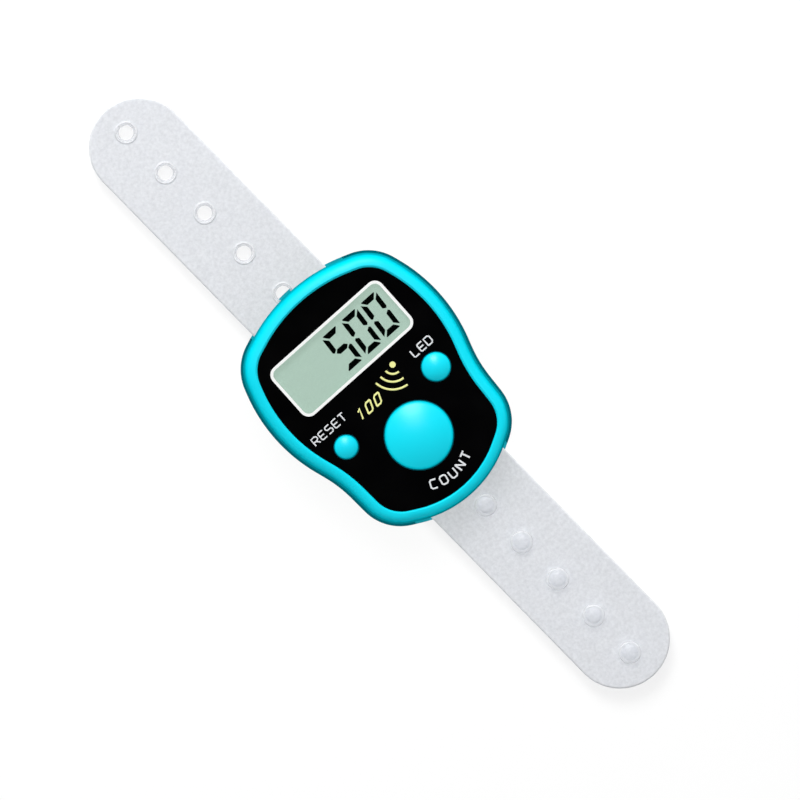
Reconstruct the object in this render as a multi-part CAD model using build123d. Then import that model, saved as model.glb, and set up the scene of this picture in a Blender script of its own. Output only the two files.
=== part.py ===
from build123d import *
import math
import os

# Digital tally counter worn on a finger: a two-part case with a black face, a number display,
# three push buttons and a soft strap that is threaded through slots under the case.
# All sizes are in millimetres. Z = 0 is the flat back, +Z comes out of the face, +X is the
# wearer's right and +Y points to the display end. The origin is under the case's middle.

# Case, seen from the front: width and length of its widest outline, which is the base's
case_width = 30.4
case_length = 38.3

# Corners of the outline's right half, from the top middle round to the bottom middle:
# share of the half width, share of the half length, and the share of the corner's shorter
# side that its rounding takes up
case_corner_shares = [
    (0.0, 1.083, 0.659),
    (0.839, 0.838, 0.290),
    (1.080, 0.253, 0.679),
    (0.850, -0.304, 0.270),
    (0.816, -0.7645, 0.430),
    (0.0, -1.124, 0.645),
]

# Case walls. The crest of the front wall is rounded in flat steps. The crest and the face in it
# stand a little lower than the base, so the rim is thinner at the bottom.
front_reveal = 0.35
wall_thickness = 1.4
wall_draft_degrees = 1.5
crest_round = 1.3
crest_steps = 3
crest_inner_bevel = 0.2
rim_width = 2.2
face_drop = 0.22
base_bottom_bevel = 0.7
case_fit_gap = 0.1
cut_overrun = 1.0
height_match = 0.001
bar_sides = 16

# Strap. A rail of the case stays on each side of it. Its holes start just inside the case's
# edge and its studs just outside it.
rail_width = 8.25
strap_length = 110.0
strap_thickness = 1.1
strap_turn_degrees = 2.7
strap_shift = 0.2
strap_edge_bevel = 0.25
strap_side_play = 0.35
strap_under_play = 0.1
strap_over_play = 0.3
strap_feature_count = 5
strap_end_margin = 5.1
first_hole_inset = 0.05
first_stud_reach = 2.25
hole_diameter = 2.8
stud_neck_diameter = 2.4
stud_head_diameter = 3.1
stud_head_height = 0.9
stud_head_bevel = 0.5
stud_neck_height = 1.15

# Back shell
bridge_thickness = 1.2
bridge_depth = 4.3
bridge_edge_bevel = 0.3
roof_thickness = 1.1

# Button cells, lying side by side along Y, and their sheet metal contacts
cell_diameter = 7.9
cell_height = 3.6
cell_lid_diameter = 6.2
cell_lid_height = 0.5
cell_spacing_gap = 0.3
cell_side_play = 0.2
cells_place_share = 0.115
contact_sheet = 0.2
contact_room = 0.55
contact_width = 2.4
contact_pad_length = 2.0
contact_arm_length = 2.6
contact_tip_length = 0.7
link_width = 4.6
link_reach = 2.0
tray_wall = 0.7
tray_height = 2.8

# Battery cover
cover_plate_thickness = 0.6
cover_ledge = 0.8
cover_gap = 0.1
cover_hook_length = 1.2
cover_grip_length = 4.2
cover_grip_width = 0.6
cover_grip_pitch = 1.2
cover_grip_count = 3
cover_grip_depth = 0.2
cover_grip_margin = 1.0

# Circuit board and what it carries
board_thickness = 0.8
board_side_gap = 0.35
board_boss_gap = 0.3
board_part_gap = 0.8
chip_side_gap = 1.1
chip_height = 0.95
chip_bevel = 0.8
resistor_length = 1.6
resistor_width = 0.8
resistor_height = 0.45
resistor_pitch = 1.5
resistor_count = 3
capacitor_length = 2.0
capacitor_width = 1.25
capacitor_height = 0.9
transistor_length = 2.9
transistor_width = 1.3
transistor_height = 0.95
backlight_length = 2.6
backlight_depth = 1.0
backlight_height = 0.8
backlight_gap = 0.1

# Push switches, all three alike
switch_size = 4.5
switch_floor = 0.2
switch_cover = 0.2
switch_wall = 0.45
snap_dome_side_gap = 0.15
snap_dome_top_width = 1.6
snap_dome_height = 0.45
snap_dome_sheet = 0.08
plunger_width = 1.8
plunger_flange_side_gap = 0.45
plunger_flange_thickness = 0.15
plunger_float = 0.05
plunger_side_gap = 0.1
button_travel = 0.3
travel_margin = 0.1

# Buttons, each moulded with a flange that keeps it under the face
button_flange_thickness = 0.5
button_flange_overhang = 0.7
button_side_gap = 0.12
button_shoulder_rise = 0.25
count_button_diameter = 9.5
count_button_crown = 1.15
led_button_diameter = 4.0
led_button_crown = 0.75
reset_button_diameter = 3.3
reset_button_crown = 0.6

# Places of the buttons' middles, as shares of the case's half width and half length
count_button_place_shares = (0, -0.4125)
led_button_place_shares = (0.5296, -0.1253)
reset_button_place_shares = (-0.5625, -0.1279)

# Face
plate_thickness = 0.9
panel_thickness = 0.7
panel_recess = 0.6
panel_gap = 0.05

# Display: viewing window, then the glass sandwich behind it. The window keeps its margins
# to the rim, and its lower edge is at a share of the case's half length.
window_side_margin = 3.3
window_top_margin = 4.95
window_bottom_share = 0.2193
window_corner_round = 0.85
window_gap = 0.05
window_flange = 0.8
window_flange_thickness = 0.5
window_seat = 0.5
glass_thickness = 0.55
glass_side_margin = 0.75
glass_top_margin = 1.0
glass_bottom_margin = 0.7
glass_ledge = 1.8
glass_edge_bevel = 0.1
zebra_width = 1.2
zebra_end_gap = 0.4
guide_inset = 0.3
glass_gap = 0.1
glass_frame_wall = 0.6
glass_frame_height = 0.9

# Buzzer, between the battery tray and the case's lower wall
piezo_end_gap = 0.95
piezo_disc_thickness = 0.2
piezo_ceramic_inset = 1.3
piezo_ceramic_thickness = 0.2
piezo_contact_width = 1.2
piezo_contact_lean = 0.9
piezo_foot_length = 0.9
piezo_rim_margin = 0.65
piezo_centre_foot_x = 0.8

# Screws and the bosses that take them: one case screw in each rail, at a share of the
# half length, and two board screws on a diagonal
screw_hole_gap = 0.15
case_screw_land = 2.2
case_screw_place_share = 0.06
case_screw_shaft_radius = 0.7
case_screw_head_radius = 1.15
case_screw_head_height = 0.8
case_screw_head_seat = 1.2
case_screw_bite = 3.6
case_boss_radius = 1.3
board_screw_x = 4.5
board_screw_top_margin = 4.55
board_screw_bottom_margin = 4.15
board_screw_shaft_radius = 0.5
board_screw_head_radius = 1.0
board_screw_head_height = 0.6
board_screw_bite = 1.4
board_boss_radius = 1.1
cover_screw_shaft_radius = 0.65
cover_screw_head_radius = 1.2
cover_screw_bite = 2.2
cover_screw_land = 0.7
cover_boss_radius = 1.4
cover_boss_spare = 0.6
screw_cross_width = 0.3
screw_cross_length_share = 1.3
screw_cross_depth_share = 0.55

# Heights above the back, from the back to the face
slot_floor = bridge_thickness
slot_roof = slot_floor + strap_under_play + strap_thickness + strap_over_play
strap_low = slot_floor + strap_under_play
roof_top = slot_roof + roof_thickness
cell_low = roof_top + contact_sheet
cell_high = cell_low + cell_height
board_low = cell_high + contact_room
board_high = board_low + board_thickness
chamber_low = board_high + switch_floor
chamber_high = chamber_low + snap_dome_height + plunger_flange_thickness + plunger_float
switch_high = chamber_high + switch_cover
plunger_high = switch_high + button_travel + travel_margin
plate_low = plunger_high + button_flange_thickness
plate_high = plate_low + plate_thickness
panel_high = plate_high + panel_thickness
crest_high = panel_high + panel_recess
cover_plate_high = slot_roof + cover_plate_thickness
cover_screw_tip = roof_top + cover_screw_bite
cover_boss_high = cover_screw_tip + cover_boss_spare
case_screw_tip = roof_top + case_screw_bite
board_screw_tip = board_high + board_screw_bite
piezo_disc_high = roof_top + piezo_disc_thickness
piezo_ceramic_high = piezo_disc_high + piezo_ceramic_thickness

# Sizes and places that follow from those above
half_width = case_width / 2
half_length = case_length / 2
strap_width = case_width - 2 * rail_width
strap_end_y = strap_length / 2 - strap_end_margin
first_hole_y = half_length - first_hole_inset
first_stud_y = half_length + first_stud_reach
hole_pitch = (strap_end_y - first_hole_y) / (strap_feature_count - 1)
stud_pitch = (strap_end_y - first_stud_y) / (strap_feature_count - 1)
strap_turn = math.radians(strap_turn_degrees)
strap_reach_x = strap_shift + strap_width / 2 / math.cos(strap_turn) + half_length * math.tan(strap_turn)
channel_half_width = strap_reach_x + strap_side_play
bridge_inner_y = half_length - bridge_depth
cells_centre_y = half_length * cells_place_share
cell_pitch = cell_diameter + cell_spacing_gap
cell_places_y = [cells_centre_y - cell_pitch / 2, cells_centre_y + cell_pitch / 2]
cell_pocket_radius = cell_diameter / 2 + cell_side_play
cover_hook_edge_y = cell_places_y[0] - cell_pocket_radius + cover_hook_length
cover_screw_y = cell_places_y[1] + cell_pocket_radius + cover_screw_head_radius + cover_screw_land
window_width = case_width - 2 * (rim_width + window_side_margin)
window_top_y = half_length - rim_width - window_top_margin
window_bottom_y = half_length * window_bottom_share
window_height = window_top_y - window_bottom_y
window_centre_y = (window_top_y + window_bottom_y) / 2
glass_half_width = window_width / 2 + glass_side_margin
glass_top_y = window_top_y + glass_top_margin
rear_glass_bottom_y = window_bottom_y - glass_bottom_margin
front_glass_bottom_y = rear_glass_bottom_y - glass_ledge
front_glass_low = plate_low - glass_thickness
rear_glass_low = front_glass_low - glass_thickness
zebra_y = (front_glass_bottom_y + rear_glass_bottom_y) / 2
button_table = [
    (name, half_width * shares[0], half_length * shares[1], diameter, crown)
    for name, shares, diameter, crown in (
        ("count", count_button_place_shares, count_button_diameter, count_button_crown),
        ("led", led_button_place_shares, led_button_diameter, led_button_crown),
        ("reset", reset_button_place_shares, reset_button_diameter, reset_button_crown),
    )
]
switch_chamber_width = switch_size - 2 * switch_wall
snap_dome_width = switch_chamber_width - 2 * snap_dome_side_gap
plunger_flange_width = switch_chamber_width - 2 * plunger_flange_side_gap
count_button_y = button_table[0][2]
chip_low_y = count_button_y + switch_size / 2 + chip_side_gap
chip_high_y = zebra_y - zebra_width / 2 - chip_side_gap
chip_y = (chip_low_y + chip_high_y) / 2
chip_radius = (chip_high_y - chip_low_y) / 2
draft_run = (plate_low - slot_roof) * math.tan(math.radians(wall_draft_degrees))
cavity_inset = front_reveal + draft_run + wall_thickness
floor_inset = cavity_inset + case_fit_gap
piezo_low_y = floor_inset - half_length + piezo_end_gap
piezo_high_y = cell_places_y[0] - cell_pocket_radius - tray_wall - piezo_end_gap
piezo_centre_y = (piezo_low_y + piezo_high_y) / 2
piezo_disc_radius = (piezo_high_y - piezo_low_y) / 2
piezo_rim_foot_x = piezo_disc_radius - piezo_rim_margin
case_screw_x = channel_half_width + screw_hole_gap + case_screw_head_radius + case_screw_land
case_screw_y = half_length * case_screw_place_share
case_screw_places = [(-case_screw_x, case_screw_y), (case_screw_x, case_screw_y)]
board_screw_places = [
    (-board_screw_x, half_length - board_screw_top_margin),
    (board_screw_x, board_screw_bottom_margin - half_length),
]


# Basic solids between two heights
def disc(radius, low, high, x=0, y=0):
    return Pos(x, y, (low + high) / 2) * Cylinder(radius, high - low)


# Nearly round bar with flat sides, for small things that repeat or stay out of sight
def bar(radius, low, high, x=0, y=0):
    return Pos(x, y, low) * extrude(RegularPolygon(radius, bar_sides), high - low)


def block(x_low, x_high, y_low, y_high, low, high):
    middle = Pos((x_low + x_high) / 2, (y_low + y_high) / 2, (low + high) / 2)
    return middle * Box(x_high - x_low, y_high - y_low, high - low)


def prism(outline, low, high):
    return Pos(0, 0, low) * extrude(outline, high - low)


# Solid of revolution from points given as (radius, height)
def turned(*points):
    return revolve(Plane.XZ * make_face(Polyline(*points, close=True)), Axis.Z)


# Slice of a ball, flat side down at z = 0. The ball lies on its side, so that the slice
# holds no pole of it.
def cap(radius, height):
    ball_radius = (radius ** 2 + height ** 2) / (2 * height)
    ball = Pos(0, 0, height - ball_radius) * Rot(90, 0, 0) * Sphere(ball_radius)
    return ball & disc(radius, 0, height + cut_overrun)


# Square block that may be narrower at its top than at its foot
def square_block(low_width, high_width, low, high):
    taper = math.degrees(math.atan2((low_width - high_width) / 2, high - low))
    return Pos(0, 0, low) * extrude(Rectangle(low_width, low_width), high - low, taper=taper)


# The case's outline, drawn in from its widest place by inset. Each side of the corner
# polygon moves in by the inset, and the roundings shrink or, in the waist, grow with it.
def case_outline(inset):
    right = [Vector(x * half_width, y * half_length) for x, y, _ in case_corner_shares]
    reaches = [reach for _, _, reach in case_corner_shares]
    corners = right + [Vector(-point.X, point.Y) for point in right[-2:0:-1]]
    reaches = reaches + reaches[-2:0:-1]
    moved, radii = [], []
    for number, corner in enumerate(corners):
        before = corner - corners[number - 1]
        after = corners[(number + 1) % len(corners)] - corner
        way_in, way_out = before.normalized(), after.normalized()
        turn = math.atan2(way_in.X * way_out.Y - way_in.Y * way_out.X, way_in.dot(way_out))
        reach = reaches[number] * min(before.length, after.length)
        radii.append(reach / math.tan(abs(turn) / 2) + math.copysign(inset, turn))
        inward = Vector(way_in.Y, -way_in.X) + Vector(way_out.Y, -way_out.X)
        moved.append(corner + inward * (inset / (1 + way_in.dot(way_out))))
    return make_face(FilletPolyline(*moved, radius=radii, close=True))


# How far the front wall's outer face stands in from the widest outline at a height
def wall_inset(height):
    return front_reveal + (height - slot_roof) * math.tan(math.radians(wall_draft_degrees))


def edges_at(solid, height):
    return solid.edges().filter_by_position(Axis.Z, height - height_match, height + height_match)


# Flat shape with full round ends along Y, round the two cells
def cell_pair_outline(margin):
    radius = cell_pocket_radius + margin
    ends = [Pos(0, y) * Circle(radius) for y in cell_places_y]
    middle = Pos(0, cells_centre_y) * Rectangle(2 * radius, cell_pitch)
    return middle + ends[0] + ends[1]


# Outline of the battery cover's outer plate: a ledge round the cells, an ear for the screw,
# and a straight edge at the hook end
def cover_outline(margin):
    ear_radius = cover_screw_head_radius + cover_screw_land + margin
    ear = Pos(0, cover_screw_y) * Circle(ear_radius)
    neck_length = cover_screw_y - cell_places_y[1]
    neck = Pos(0, cell_places_y[1] + neck_length / 2) * Rectangle(2 * ear_radius, neck_length)
    keep_low = cover_hook_edge_y - margin
    keep_length = cover_screw_y + ear_radius - keep_low
    keep = Pos(0, keep_low + keep_length / 2) * Rectangle(case_width, keep_length)
    return (cell_pair_outline(cover_ledge + margin) + ear + neck) & keep


# Back of the case: a base as wide as the case, the floor on it, and the battery tray
def make_back_shell():
    shell = prism(case_outline(0), 0, slot_roof)
    shell = chamfer(edges_at(shell, 0), base_bottom_bevel)
    # Floor inside the front shell's wall, notched round the bosses of the case screws
    floor = prism(case_outline(floor_inset), slot_roof, roof_top)
    for x, y in case_screw_places:
        floor -= bar(case_boss_radius + case_fit_gap, slot_roof, roof_top, x, y)
    shell += floor
    # Strap channel: open at the back between two bridges, a slot above each bridge
    side = channel_half_width
    shell -= block(-side, side, -case_length, case_length, slot_floor, slot_roof)
    shell -= block(-side, side, -bridge_inner_y, bridge_inner_y, -cut_overrun, slot_roof)
    bridge_edges = edges_at(shell, 0).filter_by(Axis.X)
    shell = chamfer(bridge_edges, bridge_edge_bevel)
    # Tray round the two cells, and the boss for the cover's screw
    tray_high = roof_top + tray_height
    tray = prism(cell_pair_outline(tray_wall), roof_top, tray_high)
    shell += tray - prism(cell_pair_outline(0), roof_top, tray_high)
    shell += bar(cover_boss_radius, roof_top, cover_boss_high, 0, cover_screw_y)
    # Opening for the cells, and the seat of their cover below it
    shell -= prism(cell_pair_outline(0), cover_plate_high, roof_top)
    shell -= prism(cover_outline(cover_gap), slot_roof, cover_plate_high)
    shell -= bar(cover_screw_shaft_radius, slot_roof, cover_screw_tip, 0, cover_screw_y)
    # Holes for the case screws, with counterbores for their heads
    for x, y in case_screw_places:
        shell -= bar(case_screw_shaft_radius + screw_hole_gap, -cut_overrun, crest_high, x, y)
        shell -= disc(case_screw_head_radius + screw_hole_gap, -cut_overrun, case_screw_head_seat, x, y)
    return shell


# The display window's outline with its round corners, larger than the window by margin
def window_outline(margin):
    width, height = window_width + 2 * margin, window_height + 2 * margin
    return Pos(0, window_centre_y) * RectangleRounded(width, height, window_corner_round + margin)


# Block at the window's place for the lens's flange and its seat, larger than the window by margin
def window_block(margin, low, high):
    x = window_width / 2 + margin
    return block(-x, x, window_bottom_y - margin, window_top_y + margin, low, high)


# Frame under the face that holds the display glass
def make_glass_frame():
    x, low, high = glass_half_width + glass_gap, front_glass_bottom_y - glass_gap, glass_top_y + glass_gap
    frame_low = plate_low - glass_frame_height
    wall = glass_frame_wall
    frame = block(-x - wall, x + wall, low - wall, high + wall, frame_low, plate_low)
    return frame - block(-x, x, low, high, frame_low, plate_low)


# Front of the case: drafted side wall with a round crest, face plate and screw bosses
def make_front_shell():
    sections = [Pos(0, 0, slot_roof) * case_outline(wall_inset(slot_roof))]
    crest_low = crest_high - crest_round
    for step in range(crest_steps + 1):
        angle = math.radians(90) * step / crest_steps
        height = crest_low + crest_round * math.sin(angle)
        inset = wall_inset(crest_low) + crest_round * (1 - math.cos(angle))
        sections.append(Pos(0, -face_drop * math.sin(angle), height) * case_outline(inset))
    shell = loft(sections, ruled=True)
    shell -= Pos(0, -face_drop) * prism(case_outline(rim_width), plate_high, crest_high + cut_overrun)
    crest = shell.faces().filter_by(Axis.Z).sort_by(Axis.Z)[-1]
    shell = chamfer(crest.inner_wires()[0].edges(), crest_inner_bevel)
    cavity = prism(case_outline(cavity_inset), slot_roof - cut_overrun, plate_low)
    shell -= cavity
    # What stands in the cavity: screw bosses and the frame round the display glass
    inside = make_glass_frame()
    for x, y in case_screw_places:
        inside += bar(case_boss_radius, slot_roof, plate_low, x, y)
    for x, y in board_screw_places:
        inside += bar(board_boss_radius, board_high, plate_low, x, y)
    shell += inside & cavity
    for x, y in case_screw_places:
        shell -= bar(case_screw_shaft_radius, slot_roof, case_screw_tip, x, y)
    for x, y in board_screw_places:
        shell -= bar(board_screw_shaft_radius, board_high, board_screw_tip, x, y)
    # Openings in the face plate, with a seat for the window's flange
    flange_seat = plate_high - window_flange_thickness
    shell -= window_block(window_flange - window_seat, plate_low, flange_seat)
    shell -= window_block(window_flange, flange_seat, plate_high)
    for _, x, y, diameter, _ in button_table:
        shell -= disc(diameter / 2 + button_side_gap, plate_low, plate_high, x, y)
    return shell


# Black plate that covers the face inside the rim
def make_face_panel():
    panel = Pos(0, -face_drop) * prism(case_outline(rim_width + panel_gap), plate_high, panel_high)
    panel -= prism(window_outline(0), plate_high, panel_high)
    for _, x, y, diameter, _ in button_table:
        panel -= disc(diameter / 2 + button_side_gap, plate_high, panel_high, x, y)
    return panel


# Clear lens: a flange under the panel and a boss that fills the panel's window
def make_display_window():
    flange_low = plate_high - window_flange_thickness
    lens = window_block(window_flange - window_gap, flange_low, plate_high)
    return lens + prism(window_outline(-window_gap), plate_high, panel_high)


# Sheet of display glass with ground edges, from its lower edge to the common top edge
def make_glass(bottom_y, low):
    high = low + glass_thickness
    sheet = block(-glass_half_width, glass_half_width, bottom_y, glass_top_y, low, high)
    return chamfer(edges_at(sheet, high), glass_edge_bevel)


# Clear slab behind the glass that spreads the backlight
def make_light_guide():
    x = glass_half_width - guide_inset
    low_y, high_y = rear_glass_bottom_y + guide_inset, glass_top_y - guide_inset
    return block(-x, x, low_y, high_y, board_high, rear_glass_low)


# Rubber strip that connects the glass ledge to the board
def make_zebra_strip():
    x = glass_half_width - zebra_end_gap
    low_y, high_y = zebra_y - zebra_width / 2, zebra_y + zebra_width / 2
    return block(-x, x, low_y, high_y, board_high, front_glass_low)


# Circuit board, notched at its sides round the case bosses
def make_circuit_board():
    board = prism(case_outline(cavity_inset + board_side_gap), board_low, board_high)
    notch = case_boss_radius + board_boss_gap
    for x, y in case_screw_places:
        board -= bar(notch, board_low, board_high, x, y)
        ends = sorted([x, math.copysign(case_width, x)])
        board -= block(*ends, y - notch, y + notch, board_low, board_high)
    for x, y in board_screw_places:
        board -= bar(board_screw_shaft_radius + screw_hole_gap, board_low, board_high, x, y)
    return board


# Small part soldered flat on the top of the board
def board_part(x, y, length_x, length_y, height):
    return block(x - length_x / 2, x + length_x / 2, y - length_y / 2, y + length_y / 2,
                 board_high, board_high + height)


def make_resistors():
    y = count_button_y - switch_size / 2 - board_part_gap - resistor_length / 2
    places_x = [(number - (resistor_count - 1) / 2) * resistor_pitch for number in range(resistor_count)]
    return [board_part(x, y, resistor_width, resistor_length, resistor_height) for x in places_x]


def make_capacitors():
    x = switch_size / 2 + board_part_gap + capacitor_width / 2
    return [board_part(side * x, count_button_y, capacitor_width, capacitor_length, capacitor_height)
            for side in (-1, 1)]


def make_transistor():
    x = -chip_radius - board_part_gap - transistor_width / 2
    return board_part(x, chip_y, transistor_width, transistor_length, transistor_height)


# Lamp at the side of the light guide
def make_backlight():
    x = glass_half_width - guide_inset + backlight_gap + backlight_depth / 2
    return board_part(x, window_centre_y, backlight_depth, backlight_length, backlight_height)


# Drop of resin over the chip
def make_chip():
    high = board_high + chip_height
    return chamfer(edges_at(bar(chip_radius, board_high, high, 0, chip_y), high), chip_bevel)


# Low square switch with a chamber for its dome and plunger
def make_switch_housing(x, y):
    housing = square_block(switch_size, switch_size, board_high, switch_high)
    housing -= square_block(switch_chamber_width, switch_chamber_width, chamber_low, chamber_high)
    opening_width = plunger_width + 2 * plunger_side_gap
    housing -= square_block(opening_width, opening_width, chamber_high, switch_high)
    return Pos(x, y) * housing


def make_switch_plunger(x, y):
    flange_low = chamber_low + snap_dome_height
    flange_high = flange_low + plunger_flange_thickness
    flange = square_block(plunger_flange_width, plunger_flange_width, flange_low, flange_high)
    return Pos(x, y) * (flange + square_block(plunger_width, plunger_width, flange_low, plunger_high))


# Thin sprung dome, as square as its switch, that snaps under the plunger
def make_switch_dome(x, y):
    outer = square_block(snap_dome_width, snap_dome_top_width, 0, snap_dome_height)
    inner_width = snap_dome_width - 2 * snap_dome_sheet
    inner_top_width = snap_dome_top_width - 2 * snap_dome_sheet
    inner = square_block(inner_width, inner_top_width, 0, snap_dome_height - snap_dome_sheet)
    return Pos(x, y, chamber_low) * (outer - inner)


# Domed button with a flange under the face
def make_button(x, y, diameter, crown):
    radius = diameter / 2
    shoulder = panel_high + button_shoulder_rise
    button = disc(radius, plunger_high, shoulder) + Pos(0, 0, shoulder) * cap(radius, crown)
    button += bar(radius + button_flange_overhang, plunger_high, plate_low)
    return Pos(x, y) * button


# Bent strip of sheet metal, its middle line given as (x, z) points
def bent_strip(points, width, y):
    line = Polyline(*points)
    outline = make_face(offset(line, contact_sheet / 2, kind=Kind.INTERSECTION))
    strip = Pos(0, y) * extrude(Plane.XZ * outline, width / 2, both=True)
    # The offset rounds both ends, which the end points' places cut square
    return strip & block(points[0][0], points[-1][0], y - width, y + width, 0, crest_high)


# Sprung strip from the board down to the middle of a cell
def make_cell_contact(y):
    board_line, cell_line = board_low - contact_sheet / 2, cell_high + contact_sheet / 2
    bend_x = -contact_arm_length
    points = [
        (bend_x - contact_pad_length, board_line),
        (bend_x, board_line),
        (-contact_tip_length, cell_line),
        (contact_tip_length, cell_line),
    ]
    return bent_strip(points, contact_width, y)


# Strip on the cover that joins the two cells
def make_link_contact():
    low_y, high_y = cell_places_y[0] - link_reach, cell_places_y[1] + link_reach
    return block(-link_width / 2, link_width / 2, low_y, high_y, roof_top, cell_low)


# Button cell with its smaller lid up
def make_cell():
    can = disc(cell_diameter / 2, 0, cell_height - cell_lid_height)
    return can + bar(cell_lid_diameter / 2, 0, cell_height)


def make_battery_cells():
    lid_up = Pos(0, cell_places_y[0], cell_low) * make_cell()
    lid_down = Pos(0, cell_places_y[1], cell_high) * Rot(180, 0, 0) * make_cell()
    return [lid_up, lid_down]


# Buzzer: a brass disc on the floor with a ceramic disc on it
def make_piezo_disc():
    return bar(piezo_disc_radius, roof_top, piezo_disc_high, 0, piezo_centre_y)


def make_piezo_ceramic():
    radius = piezo_disc_radius - piezo_ceramic_inset
    return bar(radius, piezo_disc_high, piezo_ceramic_high, 0, piezo_centre_y)


# Strip from the board down to the buzzer, with its foot centred at foot_x
def make_piezo_contact(foot_x, surface):
    board_line, foot_line = board_low - contact_sheet / 2, surface + contact_sheet / 2
    heel_x = foot_x + piezo_foot_length / 2
    bend_x = heel_x + piezo_contact_lean
    points = [
        (foot_x - piezo_foot_length / 2, foot_line),
        (heel_x, foot_line),
        (bend_x, board_line),
        (bend_x + piezo_foot_length, board_line),
    ]
    return bent_strip(points, piezo_contact_width, piezo_centre_y)


# Screw that points up from the given head, whose outer face is at z = 0
def make_screw(head, head_height, shaft_radius, length):
    screw = head + bar(shaft_radius, head_height, length)
    arm = shaft_radius * screw_cross_length_share
    depth = head_height * screw_cross_depth_share
    for half_x, half_y in ((arm, screw_cross_width / 2), (screw_cross_width / 2, arm)):
        screw -= block(-half_x, half_x, -half_y, half_y, -cut_overrun, depth)
    return screw


def make_case_screws():
    low = case_screw_head_seat - case_screw_head_height
    head = disc(case_screw_head_radius, 0, case_screw_head_height)
    length = case_screw_tip - low
    screw = make_screw(head, case_screw_head_height, case_screw_shaft_radius, length)
    return [Pos(x, y, low) * screw for x, y in case_screw_places]


def make_board_screws():
    low = board_low - board_screw_head_height
    head = bar(board_screw_head_radius, 0, board_screw_head_height)
    length = board_screw_tip - low
    screw = make_screw(head, board_screw_head_height, board_screw_shaft_radius, length)
    return [Pos(x, y, low) * screw for x, y in board_screw_places]


# Countersunk head, as thick as the cover's plate
def cover_screw_head():
    return turned(
        (0, 0), (cover_screw_head_radius, 0),
        (cover_screw_shaft_radius, cover_plate_thickness), (0, cover_plate_thickness),
    )


def make_cover_screw():
    length = cover_screw_tip - slot_roof
    screw = make_screw(cover_screw_head(), cover_plate_thickness, cover_screw_shaft_radius, length)
    return Pos(0, cover_screw_y, slot_roof) * screw


# Cover under the cells. Its plug reaches past its plate and hooks over the floor's edge.
def make_battery_cover():
    cover = prism(cover_outline(0), slot_roof, cover_plate_high)
    cover += prism(cell_pair_outline(-cover_gap), cover_plate_high, roof_top)
    cover -= Pos(0, cover_screw_y, slot_roof) * cover_screw_head()
    for number in range(cover_grip_count):
        y = cover_hook_edge_y + cover_grip_margin + number * cover_grip_pitch
        cover -= block(-cover_grip_length / 2, cover_grip_length / 2, y, y + cover_grip_width,
                       slot_roof - cut_overrun, slot_roof + cover_grip_depth)
    return cover


# Strap: round ends, bevelled holes in one half and mushroom studs in the other
def make_strap():
    high = strap_low + strap_thickness
    strap = prism(SlotOverall(strap_length, strap_width, 90), strap_low, high)
    strap = chamfer(edges_at(strap, high) + edges_at(strap, strap_low), strap_edge_bevel)
    head_low = high + stud_neck_height
    head_high = head_low + stud_head_height
    head = bar(stud_head_diameter / 2, head_low, head_high)
    stud = chamfer(edges_at(head, head_high), stud_head_bevel)
    stud += bar(stud_neck_diameter / 2, strap_low, head_low)
    hole = bar(hole_diameter / 2, strap_low - cut_overrun, high + cut_overrun)
    for number in range(strap_feature_count):
        strap -= Pos(0, first_hole_y + number * hole_pitch) * hole
        strap += Pos(0, -first_stud_y - number * stud_pitch) * stud
    return Pos(-strap_shift) * Rot(0, 0, strap_turn_degrees) * strap


def save(node, shape):
    solids = shape if isinstance(shape, list) else [shape]
    export_step(Compound(children=solids) if len(solids) > 1 else solids[0], f"parts/{node}.step")


os.makedirs("parts", exist_ok=True)

save("back_shell", make_back_shell())
save("front_shell", make_front_shell())
save("face_panel", make_face_panel())
save("display_window", make_display_window())
save("display_front_glass", make_glass(front_glass_bottom_y, front_glass_low))
save("display_rear_glass", make_glass(rear_glass_bottom_y, rear_glass_low))
save("light_guide", make_light_guide())
save("zebra_strip", make_zebra_strip())
save("circuit_board", make_circuit_board())
save("chip_drop", make_chip())
save("board_resistors", make_resistors())
save("board_capacitors", make_capacitors())
save("board_transistor", make_transistor())
save("backlight_lamp", make_backlight())
for name, x, y, diameter, crown in button_table:
    save(f"{name}_button", make_button(x, y, diameter, crown))
    save(f"{name}_switch_housing", make_switch_housing(x, y))
    save(f"{name}_switch_plunger", make_switch_plunger(x, y))
    save(f"{name}_switch_dome", make_switch_dome(x, y))
save("battery_cells", make_battery_cells())
save("battery_link_contact", make_link_contact())
save("battery_negative_contact", make_cell_contact(cell_places_y[0]))
save("battery_positive_contact", make_cell_contact(cell_places_y[1]))
save("battery_cover", make_battery_cover())
save("battery_cover_screw", make_cover_screw())
save("piezo_disc", make_piezo_disc())
save("piezo_ceramic", make_piezo_ceramic())
save("piezo_rim_contact", make_piezo_contact(-piezo_rim_foot_x, piezo_disc_high))
save("piezo_centre_contact", make_piezo_contact(piezo_centre_foot_x, piezo_ceramic_high))
save("board_screws", make_board_screws())
save("case_screws", make_case_screws())
save("strap", make_strap())
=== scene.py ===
import bpy
import math
from mathutils import Matrix, Vector


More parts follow.
